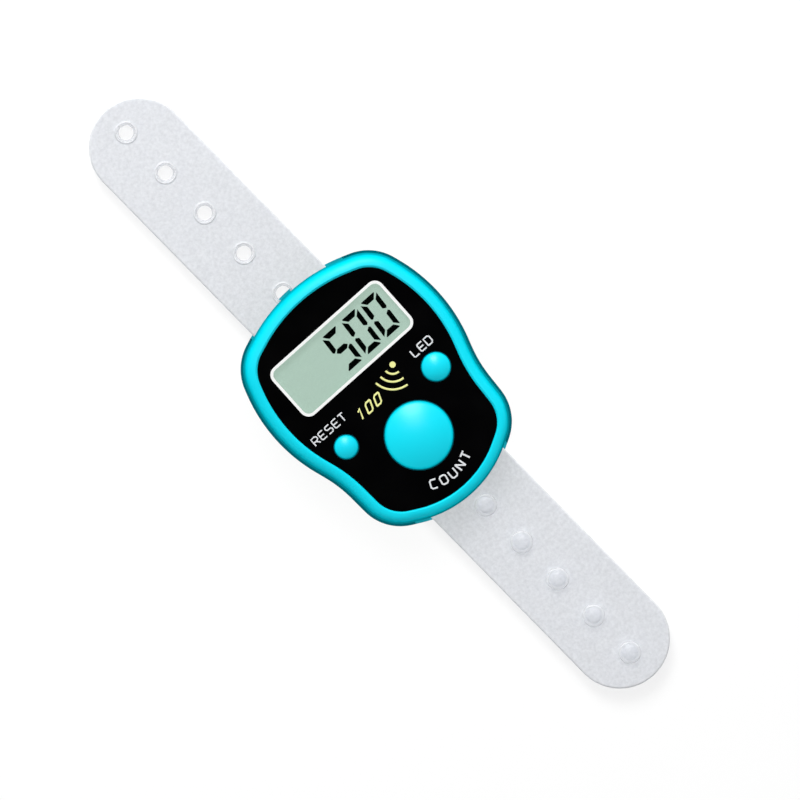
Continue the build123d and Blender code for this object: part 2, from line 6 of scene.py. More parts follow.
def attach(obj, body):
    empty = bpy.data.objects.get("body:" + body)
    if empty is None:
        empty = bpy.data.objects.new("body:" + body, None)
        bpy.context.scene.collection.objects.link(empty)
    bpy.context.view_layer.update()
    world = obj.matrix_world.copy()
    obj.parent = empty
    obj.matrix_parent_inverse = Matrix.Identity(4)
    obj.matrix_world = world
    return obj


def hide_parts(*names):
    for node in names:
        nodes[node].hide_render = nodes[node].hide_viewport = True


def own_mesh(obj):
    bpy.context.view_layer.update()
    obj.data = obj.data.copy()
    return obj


# Finger tally counter: cyan case, black face, three keys, a number display and a frosted strap.
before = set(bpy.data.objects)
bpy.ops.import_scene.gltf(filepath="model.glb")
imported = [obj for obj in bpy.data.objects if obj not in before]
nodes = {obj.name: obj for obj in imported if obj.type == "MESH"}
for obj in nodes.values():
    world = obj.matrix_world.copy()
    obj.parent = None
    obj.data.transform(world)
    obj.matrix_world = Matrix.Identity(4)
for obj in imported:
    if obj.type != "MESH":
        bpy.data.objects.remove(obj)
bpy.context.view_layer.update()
keys = ("count", "led", "reset")
mm = 0.001
mergeWithin = 0.002 * mm  # points of a mesh nearer than this are one point


# small helpers for modelling

def deselectAll():
    bpy.ops.object.select_all(action="DESELECT")


def choose(piece, *others):
    deselectAll()
    for each in (piece, *others):
        each.select_set(True)
    bpy.context.view_layer.objects.active = piece


def added(name):
    piece = bpy.context.object
    piece.name = name
    piece.data.name = name
    return piece


def settle(piece):
    choose(piece)  # the place goes into the mesh, so the object stays at the origin
    bpy.ops.object.transform_apply(location=True, rotation=True, scale=True)
    return piece


def edit(piece, mode, wanted=lambda each: True):
    # mode is VERT, EDGE or FACE, and wanted says of each one whether it is selected
    choose(piece)
    bpy.context.tool_settings.mesh_select_mode = (mode == "VERT", mode == "EDGE", mode == "FACE")
    groups = {"VERT": piece.data.vertices, "EDGE": piece.data.edges, "FACE": piece.data.polygons}
    for group in groups.values():
        group.foreach_set("select", [False] * len(group))
    for each in groups[mode]:
        each.select = wanted(each)
    bpy.ops.object.mode_set(mode="EDIT")


def endEdit():
    bpy.ops.object.mode_set(mode="OBJECT")


def faceOutwards(piece):
    edit(piece, "FACE")
    bpy.ops.mesh.normals_make_consistent(inside=False)
    endEdit()
    return piece


def applied(piece, kind, **settings):
    choose(piece)
    modifier = piece.modifiers.new(kind.lower(), kind)
    for key, value in settings.items():
        setattr(modifier, key, value)
    bpy.ops.object.modifier_apply(modifier=modifier.name)


def duplicate(piece, name, x=0.0, y=0.0):
    choose(piece)
    bpy.ops.object.duplicate()
    copy = added(name)
    copy.location = (x * mm, y * mm, 0)
    return settle(copy)


def joined(name, pieces):
    choose(*pieces)
    bpy.ops.object.join()
    return added(name)


def remove(*pieces):
    for each in pieces:
        bpy.data.objects.remove(each)


def smooth(piece, degrees):
    choose(piece)
    bpy.ops.object.shade_smooth_by_angle(angle=math.radians(degrees))


# small helpers for materials

noiseLow, noiseHigh = 0.3, 0.7  # nearly all of a noise texture lies between these


def linear(hexColour):
    channels = [int(hexColour[i:i + 2], 16) / 255 for i in (0, 2, 4)]
    return [c / 12.92 if c <= 0.04045 else ((c + 0.055) / 1.055) ** 2.4 for c in channels] + [1]


def addNode(tree, kind, values=None, links=None, **settings):
    node = tree.nodes.new(kind)
    for key, value in settings.items():
        setattr(node, key, value)
    for socket, value in (values or {}).items():
        node.inputs[socket].default_value = value
    for socket, source in (links or {}).items():
        tree.links.new(source, node.inputs[socket])
    return node


def perSize(sizeMm):
    return 1 / (sizeMm * mm)  # a texture's scale, from the real size of one grain


def startMaterial(name, colour, roughness, **values):
    material = bpy.data.materials.new(name)
    material.use_nodes = True
    tree = material.node_tree
    shader = tree.nodes["Principled BSDF"]
    shader.inputs["Base Color"].default_value = linear(colour)
    shader.inputs["Roughness"].default_value = roughness
    for key, value in values.items():
        shader.inputs[key.replace("_", " ")].default_value = value
    place = addNode(tree, "ShaderNodeTexCoord").outputs["Object"]
    return material, tree, shader, place


def addGrain(tree, shader, place, grainMm, depthMm, detail=2.0):
    noise = addNode(tree, "ShaderNodeTexNoise", {"Scale": perSize(grainMm), "Detail": detail},
                    {"Vector": place})
    bump = addNode(tree, "ShaderNodeBump", {"Distance": depthMm * mm}, {"Height": noise.outputs["Fac"]})
    tree.links.new(bump.outputs["Normal"], shader.inputs["Normal"])


def addTints(tree, shader, place, patchMm, first, second, detail=3.0, fine=0.5):
    noise = addNode(tree, "ShaderNodeTexNoise", {"Scale": perSize(patchMm), "Detail": detail,
                    "Roughness": fine}, {"Vector": place})
    ramp = addNode(tree, "ShaderNodeValToRGB", links={"Fac": noise.outputs["Fac"]})
    for stop, position, colour in zip(ramp.color_ramp.elements, (noiseLow, noiseHigh), (first, second)):
        stop.position = position
        stop.color = linear(colour)
    tree.links.new(ramp.outputs["Color"], shader.inputs["Base Color"])


def addWear(tree, shader, place, patchMm, low, high):
    noise = addNode(tree, "ShaderNodeTexNoise", {"Scale": perSize(patchMm), "Detail": 4.0}, {"Vector": place})
    reach = addNode(tree, "ShaderNodeMapRange", {"From Min": noiseLow, "From Max": noiseHigh, "To Min": low,
                    "To Max": high}, {"Value": noise.outputs["Fac"]})
    tree.links.new(reach.outputs["Result"], shader.inputs["Roughness"])


def dress(piece, material):
    piece.data.materials.clear()
    piece.data.materials.append(material)
    return piece


# materials of the outside

def mouldedAbs(name, plastic):
    # ABS with a fine spark-eroded mould finish: an even satin gloss that shows finger polish.
    # Towards footLow, where the wall turns down away from the light, its tone deepens as painted shade, and
    # its gloss goes.
    low, rise = plastic["footLow"], plastic["footHigh"] - plastic["footLow"]
    glossStart, glossFull = 0.7, 1.07  # shares of that rise
    polished, dull = plastic["roughness"]
    material, tree, shader, place = startMaterial(name, plastic["colour"], polished, IOR=1.53)
    addTints(tree, shader, place, 9.0, plastic["colour"], plastic["tint"])
    tinted = shader.inputs["Base Color"].links[0].from_socket
    level = addNode(tree, "ShaderNodeSeparateXYZ", links={"Vector": place}).outputs["Z"]
    share = addNode(tree, "ShaderNodeMapRange", {"From Min": low * mm, "From Max": (low + rise) * mm},
                    {"Value": level}, interpolation_type="SMOOTHSTEP")
    # painted shade: below footHigh the colour blends into the darker foot colour
    mix = addNode(tree, "ShaderNodeMix", {"A": linear(plastic["foot"])},
                  {"Factor": share.outputs["Result"], "B": tinted}, data_type="RGBA")
    tree.links.new(mix.outputs["Result"], shader.inputs["Base Color"])
    gloss = addNode(tree, "ShaderNodeMapRange", {"From Min": (low + rise * glossStart) * mm,
                    "From Max": (low + rise * glossFull) * mm}, {"Value": level},
                    interpolation_type="SMOOTHSTEP")
    sheen = addNode(tree, "ShaderNodeMath", {1: plastic["shine"]}, {0: gloss.outputs["Result"]},
                    operation="MULTIPLY")
    tree.links.new(sheen.outputs[0], shader.inputs["Specular IOR Level"])
    addWear(tree, shader, place, 4.0, polished, dull)
    addGrain(tree, shader, place, 0.22, 0.004)
    return material


def glossBlackAcrylic():
    # acrylic sheet printed black behind: deep black with a clean gloss and faint wipe marks
    material, tree, shader, place = startMaterial("glossBlackAcrylic", "050506", 0.16, IOR=1.49,
                                                  Specular_IOR_Level=0.3)
    addWear(tree, shader, place, 6.0, 0.12, 0.22)
    addGrain(tree, shader, place, 3.0, 0.002)
    return material


def clearAcrylic():
    # cast acrylic window: clear, polished, lets the lamps through to the display
    material, tree, shader, place = startMaterial("clearAcrylic", "FAFCFC", 0.03, IOR=1.49,
                                                  Transmission_Weight=1.0)
    addGrain(tree, shader, place, 5.0, 0.001)
    path = addNode(tree, "ShaderNodeLightPath")
    straight = addNode(tree, "ShaderNodeMath", links={0: path.outputs["Is Shadow Ray"],
                       1: path.outputs["Is Diffuse Ray"]}, operation="MAXIMUM")
    through = addNode(tree, "ShaderNodeBsdfTransparent", {"Color": linear("F7FAFA")})
    mix = addNode(tree, "ShaderNodeMixShader", links={0: straight.outputs[0], 1: shader.outputs[0],
                  2: through.outputs[0]})
    tree.links.new(mix.outputs[0], tree.nodes["Material Output"].inputs["Surface"])
    return material


def displayFilm():
    # polarising film over a reflective number display: matt grey-green with a fine sparkle
    material, tree, shader, place = startMaterial("displayFilm", "BED7C7", 0.5, IOR=1.5)
    addTints(tree, shader, place, 0.3, "BBD4C4", "C1DACA", detail=6.0)
    addGrain(tree, shader, place, 0.12, 0.001)
    return material


def liquidCrystal():
    # switched segments of the display: near black and dull, with the green of the film in it
    material, tree, shader, place = startMaterial("liquidCrystal", "020403", 0.7, IOR=1.5,
                                                  Specular_IOR_Level=0.0)
    addTints(tree, shader, place, 0.4, "010302", "030604")
    return material


def screenInk(name, colour, shade):
    # screen printed ink: flat and opaque, a little uneven where the mesh left it thin
    material, tree, shader, place = startMaterial(name, colour, 0.5, IOR=1.5)
    addTints(tree, shader, place, 0.25, colour, shade, detail=4.0)
    addGrain(tree, shader, place, 0.15, 0.002)
    return material


def frostedTpu():
    # translucent thermoplastic rubber moulded in an etched tool: milky, with a fine sandy grain.
    # The studs stand free and polished, so they are clearer than the band.
    studLow, studHigh = 2.75, 3.0  # the change from band to stud
    studRoughness, studClearness, beadAlpha = 0.14, 0.5, 0.45
    material, tree, shader, place = startMaterial("frostedTpu", "E0E2E5", 0.4, IOR=1.45,
                                                  Subsurface_Weight=0.5, Subsurface_Radius=(1, 1, 1),
                                                  Subsurface_Scale=0.6 * mm)
    addTints(tree, shader, place, 0.5, "DEE0E4", "EEF0F4", detail=3.0, fine=0.7)
    addWear(tree, shader, place, 2.0, 0.3, 0.45)
    addGrain(tree, shader, place, 0.28, 0.016, detail=3.0)
    level = addNode(tree, "ShaderNodeSeparateXYZ", links={"Vector": place}).outputs["Z"]
    stud = addNode(tree, "ShaderNodeMapRange", {"From Min": studLow * mm, "From Max": studHigh * mm},
                   {"Value": level}).outputs["Result"]
    dull = shader.inputs["Roughness"].links[0].from_socket
    polish = addNode(tree, "ShaderNodeMix", {"B": studRoughness}, {"Factor": stud, "A": dull})
    tree.links.new(polish.outputs["Result"], shader.inputs["Roughness"])
    clear = addNode(tree, "ShaderNodeMath", {1: studClearness}, {0: stud}, operation="MULTIPLY")
    through = addNode(tree, "ShaderNodeBsdfTransparent")
    mix = addNode(tree, "ShaderNodeMixShader", links={0: clear.outputs[0], 1: shader.outputs[0],
                  2: through.outputs[0]})
    tree.links.new(mix.outputs[0], tree.nodes["Material Output"].inputs["Surface"])
    thin = material.copy()  # round the holes the rubber is a thin, clearer bead
    thin.name = "frostedTpuThin"
    thin.node_tree.nodes["Principled BSDF"].inputs["Alpha"].default_value = beadAlpha
    return material, thin


# materials of the inside

def blackNylon():
    # glass filled nylon and moulded resin: dull black with a dry, speckled skin
    material, tree, shader, place = startMaterial("blackNylon", "17181A", 0.55, IOR=1.53)
    addTints(tree, shader, place, 0.6, "131416", "1E1F22")
    addGrain(tree, shader, place, 0.18, 0.006)
    return material


def whiteAcetal():
    # acetal and white lamp moulding: waxy white with a soft shine
    material, tree, shader, place = startMaterial("whiteAcetal", "ECEAE2", 0.35, IOR=1.48)
    addTints(tree, shader, place, 1.5, "E8E5DB", "F0EEE7")
    addGrain(tree, shader, place, 0.3, 0.003)
    return material


def epoxyDrop():
    # black potting epoxy: glassy and slightly rippled where it flowed
    material, tree, shader, place = startMaterial("epoxyDrop", "0E0E10", 0.2, IOR=1.55)
    addWear(tree, shader, place, 1.0, 0.14, 0.35)
    addGrain(tree, shader, place, 1.2, 0.03)
    return material


def solderMask():
    # glass epoxy board under green solder mask: copper runs show through as paler lines
    material, tree, shader, place = startMaterial("solderMask", "1F6B3A", 0.35, IOR=1.5)
    runs = addNode(tree, "ShaderNodeTexBrick", {"Scale": perSize(3.2), "Mortar Size": 0.06,
                   "Brick Width": 1.6, "Row Height": 0.55, "Color1": linear("1B6034"),
                   "Color2": linear("1F6B3A"), "Mortar": linear("3E8F52")}, {"Vector": place})
    tree.links.new(runs.outputs["Color"], shader.inputs["Base Color"])
    bump = addNode(tree, "ShaderNodeBump", {"Strength": 0.6, "Distance": 0.035 * mm},
                   {"Height": runs.outputs["Fac"]})
    tree.links.new(bump.outputs["Normal"], shader.inputs["Normal"])
    return material


def chipCeramic():
    # fired ceramic of small capacitors: matt tan, grainy
    material, tree, shader, place = startMaterial("chipCeramic", "B08A5C", 0.6, IOR=1.6)
    addTints(tree, shader, place, 0.25, "A67F52", "BB9669")
    addGrain(tree, shader, place, 0.1, 0.004)
    return material


def zebraRubber():
    # silicone strip of conducting and plain layers 0.2 mm thick: fine black and pink-white lines across it
    layersPerUnit = 6.28  # the dark and the light bands of a wave texture at scale 1
    material, tree, shader, place = startMaterial("zebraRubber", "3A3638", 0.6, IOR=1.43)
    wave = addNode(tree, "ShaderNodeTexWave", {"Scale": perSize(0.2) / layersPerUnit}, {"Vector": place},
                   bands_direction="X")
    ramp = addNode(tree, "ShaderNodeValToRGB", links={"Fac": wave.outputs["Fac"]})
    ramp.color_ramp.elements[0].color = linear("1A1A1C")
    ramp.color_ramp.elements[1].color = linear("D9B8B4")
    tree.links.new(ramp.outputs["Color"], shader.inputs["Base Color"])
    return material


def reflectorGlass():
    # rear glass of the display with its silvered reflector film: pale satin metal look
    material, tree, shader, place = startMaterial("reflectorGlass", "C7CFCB", 0.3, IOR=1.52)
    addTints(tree, shader, place, 2.0, "C0C8C4", "CFD6D2")
    addWear(tree, shader, place, 0.8, 0.25, 0.4)
    return material


def nickelPlate(name, colour, grainMm):
    # nickel plated steel, drawn or pressed: bright, with fine rolling lines along it
    material, tree, shader, place = startMaterial(name, colour, 0.25, Metallic=1.0)
    stretch = addNode(tree, "ShaderNodeMapping", {"Scale": (1.0, 0.08, 1.0)}, {"Vector": place})
    addWear(tree, shader, stretch.outputs["Vector"], grainMm, 0.18, 0.36)
    addGrain(tree, shader, stretch.outputs["Vector"], grainMm, 0.003)
    return material


def zincSteel():
    # zinc plated screw steel: blue-white metal with a faintly cloudy passivated skin
    material, tree, shader, place = startMaterial("zincSteel", "B9BDC4", 0.3, Metallic=1.0)
    addTints(tree, shader, place, 0.8, "AEB3BD", "C6C8C9")
    addWear(tree, shader, place, 0.3, 0.22, 0.42)
    return material


def sheetBrass():
    # rolled brass of the buzzer disc: warm yellow metal, slightly tarnished in patches
    material, tree, shader, place = startMaterial("sheetBrass", "C9A24B", 0.3, Metallic=1.0)
    addTints(tree, shader, place, 2.0, "BD9340", "D6B25E")
    addWear(tree, shader, place, 0.5, 0.22, 0.42)
    return material


def silveredCeramic():
    # silver electrode fired on the buzzer's ceramic: matt, chalky silver-white
    material, tree, shader, place = startMaterial("silveredCeramic", "D5D6D3", 0.5, IOR=1.6)
    addTints(tree, shader, place, 0.7, "CBCCC9", "DEDFDC")
    addGrain(tree, shader, place, 0.15, 0.005)
    return material


# camera: the photograph looks straight down on the face, with the counter turned in the picture
camera = {
    "lens": 1000.0,
    "middle": (1.281, -2.533),
    "faceHeight": 12.5,
    "millimetresAcross": 800 / 7.25,
    "turn": -41.7,
    "nearest": 0.05,
    "farthest": 50,
}
cameraData = bpy.data.cameras.new("camera")
cameraData.lens = camera["lens"]
cameraData.clip_start = camera["nearest"]
cameraData.clip_end = camera["farthest"]
cameraObject = bpy.data.objects.new("camera", cameraData)
bpy.context.scene.collection.objects.link(cameraObject)
distance = camera["millimetresAcross"] * camera["lens"] / cameraData.sensor_width
cameraObject.location = Vector((*camera["middle"], camera["faceHeight"] + distance)) * mm
cameraObject.rotation_euler = (0, 0, math.radians(camera["turn"]))
bpy.context.scene.camera = cameraObject
print("camera placed")

# studio: a lamp with shadows and a wide one without, both towards the picture's top, an even sky,
# a pale floor with a lamp of its own for the strap's soft shadow, and a dark card overhead
studio = {
    "sky": 0.36,
    "zenith": 0.40,
    "keyDirection": (0.204, 0.406, 0.891),
    "keyWatts": 1.9,
    "fillDirection": (0.334, 0.663, 0.669),
    "fillWatts": 8.6,
    "lampDistance": 1.1,
    "lampSize": 0.45,
    "floorSize": 12,
    "floorWatts": 7.0,
    "floorShade": 0.30,
    "floorGlow": 1.04,
    "glowPerShade": 1.39,
    "floorBounce": 0.8,
    "cardHeight": 1.3,
    "cardSize": 12.0,
}


def areaLamp(name, direction, watts, shadows=True):
    data = bpy.data.lights.new(name, "AREA")
    data.shape = "SQUARE"
    data.size = studio["lampSize"]
    data.energy = watts
    data.use_shadow = shadows
    lamp = bpy.data.objects.new(name, data)
    bpy.context.scene.collection.objects.link(lamp)
    lamp.location = Vector(direction).normalized() * studio["lampDistance"]
    lamp.rotation_euler = Vector(direction).to_track_quat("Z", "Y").to_euler()
    lamp.visible_camera = False
    return lamp


def grouped(name, *pieces):
    group = bpy.data.collections.new(name)
    for each in pieces:
        group.objects.link(each)
    return group


def shownRays(tree):
    # 1 where the camera looks, straight or by gloss and glass, and 0 for the light that falls elsewhere
    path = addNode(tree, "ShaderNodeLightPath")
    either = addNode(tree, "ShaderNodeMath", links={0: path.outputs["Is Camera Ray"],
                     1: path.outputs["Is Glossy Ray"]}, operation="MAXIMUM")
    return addNode(tree, "ShaderNodeMath", links={0: either.outputs[0],
                   1: path.outputs["Is Transmission Ray"]}, operation="MAXIMUM").outputs[0]


areaLamp("keyLamp", studio["keyDirection"], studio["keyWatts"])
fillLamp = areaLamp("fillLamp", studio["fillDirection"], studio["fillWatts"], shadows=False)
polished = grouped("polishedFace", nodes["face_panel"], nodes["display_window"])
for each in polished.collection_objects:
    each.light_linking.link_state = "EXCLUDE"  # flat and glossy, they would mirror the lamp as a white patch
fillLamp.light_linking.receiver_collection = polished
floorLamp = areaLamp("floorLamp", studio["fillDirection"], studio["floorWatts"])

world = bpy.data.worlds.new("studioSky")
bpy.context.scene.world = world
world.use_nodes = True
sky = world.node_tree
sky.nodes.clear()
look = addNode(sky, "ShaderNodeTexCoord")
height = addNode(sky, "ShaderNodeSeparateXYZ", links={"Vector": look.outputs["Generated"]})
shade = addNode(sky, "ShaderNodeMapRange", {"To Min": studio["sky"], "To Max": studio["zenith"]},
                {"Value": height.outputs["Z"]})
ambient = addNode(sky, "ShaderNodeBackground", {"Color": (1, 1, 1, 1)}, {"Strength": shade.outputs["Result"]})
white = addNode(sky, "ShaderNodeBackground", {"Color": (1, 1, 1, 1)})
skyMix = addNode(sky, "ShaderNodeMixShader", links={0: shownRays(sky), 1: ambient.outputs[0],
                 2: white.outputs[0]})
addNode(sky, "ShaderNodeOutputWorld", links={"Surface": skyMix.outputs[0]})

deselectAll()
bpy.ops.mesh.primitive_plane_add(size=studio["floorSize"], location=(0, 0, 0))
floor = added("floor")
floorMaterial, tree, shader, place = startMaterial("paleFloor", "FFFFFF", 0.8)
tree.nodes.remove(shader)
shown = shownRays(tree)
# the glow is what the lit floor still needs to come out white
glowStrength = studio["floorGlow"] - studio["glowPerShade"] * studio["floorShade"]
glow = addNode(tree, "ShaderNodeMath", {1: glowStrength}, {0: shown}, operation="MULTIPLY")
pale = addNode(tree, "ShaderNodeEmission", {"Color": (1, 1, 1, 1)}, {"Strength": glow.outputs[0]})
tone = addNode(tree, "ShaderNodeMapRange", {"To Min": studio["floorBounce"], "To Max": studio["floorShade"]},
               {"Value": shown})
matt = addNode(tree, "ShaderNodeBsdfDiffuse", links={"Color": tone.outputs["Result"]})
both = addNode(tree, "ShaderNodeAddShader", links={0: matt.outputs[0], 1: pale.outputs[0]})
tree.links.new(both.outputs[0], tree.nodes["Material Output"].inputs["Surface"])
dress(floor, floorMaterial)
floorLamp.light_linking.receiver_collection = grouped("floorOnly", floor)

deselectAll()
bpy.ops.mesh.primitive_plane_add(size=studio["cardSize"], location=(0, 0, studio["cardHeight"]))
card = added("darkCard")  # keeps the glossy face black, as the dark room above a camera does
cardMaterial = startMaterial("blackCard", "000000", 1.0, Specular_IOR_Level=0.0)[0]
dress(card, cardMaterial)
card.visible_camera = False
card.visible_diffuse = False
card.visible_shadow = False
bpy.context.scene.view_settings.view_transform = "Standard"
print("studio lit")

# case and keys: the moulded CAD pieces, merged, with the keys' edges rounded
case = {
    # painted shade: the shell's foot colour darkens its outer wall, turned down from the light, below the rim
    "shell": {"colour": "02E6FB", "tint": "02E1F7", "foot": "029BAA", "footLow": 11.5, "footHigh": 12.95,
              "roughness": (0.36, 0.46), "shine": 0.2},
    "base": {"colour": "02A2B2", "tint": "029AAA", "foot": "036C79", "footLow": 2.6, "footHigh": 2.2,
             "roughness": (0.45, 0.55), "shine": 0.17},  # turned over: it darkens upwards as painted shade under the shell, and its colour, deeper than the shell's, is painted shade for the dark outer edge of the case
    # painted shade: the keys darken towards the face, for their dark outline where they meet it
    "keys": {"colour": "04E8FD", "tint": "04E3FA", "foot": "026572", "footLow": 12.5, "footHigh": 12.95,
             "roughness": (0.29, 0.35), "shine": 0.32},
    "keyEdge": 0.6,
    "edgeSteps": 4,
    "edgesFrom": 38,
    "flatWithin": 0.6,
    "shellSmooth": 40,
    "baseSmooth": 30,
    "keySmooth": 50,
}


def cadCopy(node, name, body, smoothAngle, rounding=0.0):
    # a merged copy of a CAD piece, smooth up to an angle in degrees, its sharper edges rounded by so many mm
    piece = bpy.data.objects.new(name, nodes[node].data.copy())
    bpy.context.scene.collection.objects.link(piece)
    choose(piece)
    bpy.ops.mesh.customdata_custom_splitnormals_clear()
    edit(piece, "VERT")
    bpy.ops.mesh.remove_doubles(threshold=mergeWithin)
    bpy.ops.mesh.dissolve_limited(angle_limit=math.radians(case["flatWithin"]))
    endEdit()
    if rounding:
        applied(piece, "BEVEL", width=rounding * mm, segments=case["edgeSteps"], limit_method="ANGLE",
                angle_limit=math.radians(case["edgesFrom"]), miter_outer="MITER_ARC")
    smooth(piece, smoothAngle)
    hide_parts(node)
    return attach(piece, body)


caseAbs = mouldedAbs("mouldedAbs", case["shell"])
baseAbs = mouldedAbs("mouldedAbsBase", case["base"])
keyAbs = mouldedAbs("mouldedAbsKeys", case["keys"])
front = dress(cadCopy("front_shell", "case_front", "case", case["shellSmooth"]), caseAbs)
base = dress(cadCopy("back_shell", "case_base", "case", case["baseSmooth"]), baseAbs)
front.visible_diffuse = base.visible_diffuse = False  # the coloured case throws no tint on the strap
for name in keys:
    key = cadCopy(name + "_button", name + "_key_cap", name + "_key", case["keySmooth"],
                  case["keyEdge"])
    dress(key, keyAbs)
print("case and keys shaped")

# strap: a flat ribbon with round ends, five lipped holes in one half and five studs in the other
strap = {
    "length": 109.0,
    "width": 13.9,
    "low": 1.3,
    "thick": 1.1,
    "endSteps": 98,
    "edgeRound": 0.28,
    "edgeSteps": 3,
    "turn": 2.7,
    "shift": (-0.2, 0.1),
    "smooth": 50,
    "each": 5,
    "roundSteps": 40,
    "holes": (19.15, 50.25),
    "holesAside": 0.15,
    "holeRadius": 1.02,
    "mouthRadius": 1.38,
    "holeSteps": 8,
    "lipWidth": 0.25,
    "lip": ((0, 0.02), (0.08, 0.09), (0.18, 0.13)),  # how far in and how high over the ribbon
    "lipFoot": 0.4,
    "studs": (21.4, 49.9),
    "studsAside": -0.35,
    "studFoot": 0.3,
    "neckRadius": 1.2,
    "headRadius": 1.58,
    "headLow": 3.45,
    "headRim": (0.06, 0.08),
    "headHigh": 4.2,
    "capLow": 0.2,
    "capSteps": 16,
    "ringAt": 0.7,
    "ringWidth": 0.11,
    "ringDepth": 0.12,
}
strapHigh = strap["low"] + strap["thick"]
lipHigh = strapHigh + strap["lip"][-1][1]
deselectAll()
bpy.ops.mesh.primitive_cylinder_add(vertices=strap["endSteps"], radius=strap["width"] / 2 * mm,
                                    depth=strap["thick"] * mm,
                                    location=(0, 0, (strap["low"] + strap["thick"] / 2) * mm))
ribbon = settle(added("strap_ribbon"))
reach = (strap["length"] - strap["width"]) / 2 * mm
for side in (1, -1):
    edit(ribbon, "VERT", lambda point: point.co.y * side > 0)
    bpy.ops.transform.translate(value=(0, reach * side, 0))
    endEdit()
rubber, thinRubber = frostedTpu()
dress(ribbon, rubber)


def isLevel(edge):
    first, second = [ribbon.data.vertices[i].co.z for i in edge.vertices]
    return abs(first - second) < mergeWithin


edit(ribbon, "EDGE", isLevel)
bpy.ops.mesh.bevel(offset=strap["edgeRound"] * mm, segments=strap["edgeSteps"], affect="EDGES")
endEdit()


def turned(name, profile):
    # a round body: the profile's points (radius, height) go round the upright axis
    deselectAll()
    bpy.ops.mesh.primitive_circle_add(vertices=strap["roundSteps"], radius=profile[0][0] * mm,
                                      fill_type="NGON", location=(0, 0, profile[0][1] * mm))
    piece = settle(added(name))
    edit(piece, "FACE")
    for (before, low), (after, high) in zip(profile, profile[1:]):
        bpy.ops.mesh.extrude_region_move(TRANSFORM_OT_translate={"value": (0, 0, (high - low) * mm)})
        bpy.ops.transform.resize(value=(after / before, after / before, 1))
    endEdit()
    return faceOutwards(piece)


mouth, head, headLow = strap["mouthRadius"], strap["headRadius"], strap["headLow"]
outer = mouth + strap["lipWidth"]
collarProfile = [(outer, strapHigh - strap["lipFoot"])]
collarProfile += [(outer - inset, strapHigh + rise) for inset, rise in strap["lip"]]
collarProfile.append((mouth / 2, lipHigh))
collar = turned("eyelet_collar", collarProfile)

past = 0.1  # the tool reaches past the rubber on both sides
boreProfile = [(mouth + past, strap["low"] - past)]
for step in range(strap["holeSteps"] + 1):
    share = step / strap["holeSteps"]
    bead = (mouth - strap["holeRadius"]) * math.sin(math.pi * share)
    boreProfile.append((mouth - bead, strap["low"] + (lipHigh - strap["low"]) * share))
boreProfile.append((mouth + past, lipHigh + past))
bore = turned("bore_tool", boreProfile)

rimInset, rimRise = strap["headRim"]
capDrop = strap["headHigh"] - headLow - strap["capLow"]
studProfile = [(strap["neckRadius"], strapHigh - strap["studFoot"]), (strap["neckRadius"], headLow),
               (head - rimInset, headLow), (head, headLow + rimRise)]
for step in range(1, strap["capSteps"]):
    share = 1 - step / strap["capSteps"]  # a low round cap with a shallow ring in it
    ring = strap["ringDepth"] * math.exp(-((share - strap["ringAt"]) / strap["ringWidth"]) ** 2)
    studProfile.append((head * share, strap["headHigh"] - capDrop * share ** 2 - ring))
studProfile.append((0.02, strap["headHigh"]))  # all but a point
stud = turned("strap_stud", studProfile)


def along(ends, number):
    return ends[0] + (ends[1] - ends[0]) * number / (strap["each"] - 1)


collars, bores, studs = [], [], []
for number in range(strap["each"]):
    holePlace = (strap["holesAside"], along(strap["holes"], number))
    collars.append(duplicate(collar, "collar%d" % number, *holePlace))
    bores.append(duplicate(bore, "bore%d" % number, *holePlace))
    studs.append(duplicate(stud, "stud%d" % number, strap["studsAside"], -along(strap["studs"], number)))
remove(collar, bore, stud)
for name, parts, operation, material in (("collars", collars, "UNION", rubber),
                                         ("bores", bores, "DIFFERENCE", thinRubber),
                                         ("studs", studs, "UNION", rubber)):
    tool = dress(joined(name, parts), material)
    applied(ribbon, "BOOLEAN", operation=operation, object=tool, solver="EXACT", material_mode="TRANSFER")
    remove(tool)
edit(ribbon, "VERT")
bpy.ops.mesh.remove_doubles(threshold=mergeWithin)
endEdit()
faceOutwards(ribbon)
ribbon.rotation_euler = (0, 0, math.radians(strap["turn"]))
ribbon.location = (strap["shift"][0] * mm, strap["shift"][1] * mm, 0)
settle(ribbon)
smooth(ribbon, strap["smooth"])
applied(ribbon, "WEIGHTED_NORMAL", keep_sharp=True, weight=60)
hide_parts("strap")
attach(ribbon, "strap")
shading = grouped("floorShading", ribbon)  # the strap alone shades the floor's own lamp
floorLamp.light_linking.blocker_collection = shading
print("strap made")

# display: the digits are seven-segment shapes switched dark in the glass
digits = {
    "shows": "500",
    "width": 2.9,
    "height": 5.96,
    "across": 0.80,
    "upright": 0.70,
    "gap": 0.24,
    "blunt": 0.13,
    "middleInset": 0.15,
    "waistInset": 0.2,
    "waistSlope": 0.55,
    "lefts": (-1.62, 1.92, 5.43),
    "bottom": 5.08,
    "slant": 4.0,
    "glassTop": 10.9,
    "lift": 0.005,
    "film": 0.02,
}
segmentsOf = {"5": "afgcd", "0": "abcdef"}


def flatPiece(name, wide, tall, x, y, z):
    deselectAll()
    bpy.ops.mesh.primitive_plane_add(size=1, location=(x * mm, y * mm, z * mm))
    piece = added(name)
    piece.scale = (wide * mm, tall * mm, 1)
    return settle(piece)


def cutAway(piece, x, y, towards):
    # cuts a flat piece along a line through x, y and drops the side that towards points at
    edit(piece, "FACE")
    bpy.ops.mesh.bisect(plane_co=(x * mm, y * mm, 0), plane_no=(*towards, 0), clear_outer=True)
    endEdit()


def thicken(piece, depth):
    edit(piece, "FACE")
    bpy.ops.mesh.extrude_region_move(TRANSFORM_OT_translate={"value": (0, 0, depth * mm)})
    endEdit()
    return faceOutwards(piece)


def leaning(degrees):
    lean = math.tan(math.radians(degrees))
    return Matrix(((1, lean, 0, 0), (0, 1, 0, 0), (0, 0, 1, 0), (0, 0, 0, 1)))


